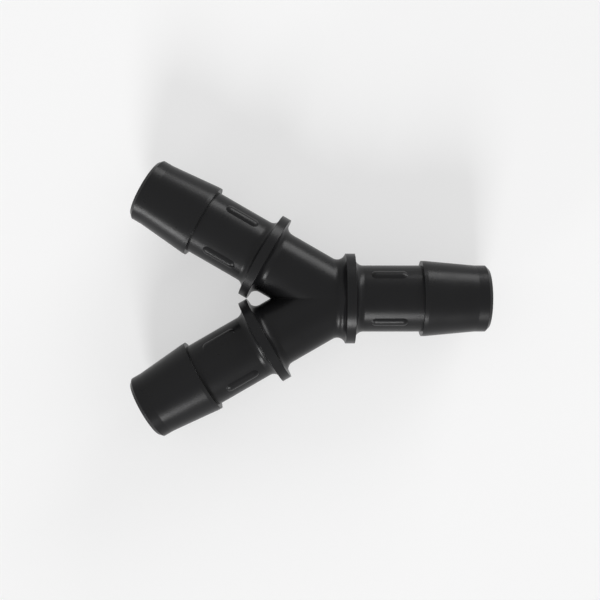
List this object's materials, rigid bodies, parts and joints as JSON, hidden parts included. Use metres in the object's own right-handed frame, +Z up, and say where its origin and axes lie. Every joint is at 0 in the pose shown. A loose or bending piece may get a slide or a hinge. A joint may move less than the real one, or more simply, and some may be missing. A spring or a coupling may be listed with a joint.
{
  "type": "tubing Y connector",
  "caption": "One-piece moulded plastic Y connector that splits or joins hoses: a stem and two splayed branches, each a flanged barrel with a hose barb and open bore.",
  "frame": {"origin": "on the surface it lies on, under the middle of its footprint", "axes": "+X along the stem towards its tip, +Z up, away from the surface; the branches lean 30 degrees to +Y and -Y of the -X direction"},
  "size_m": [0.0862, 0.0662, 0.0217],
  "materials": {
    "black_plastic": "satin moulded black nylon"
  },
  "bodies": {
    "root": {"y_connector": "black_plastic"}
  },
  "joints": []
}
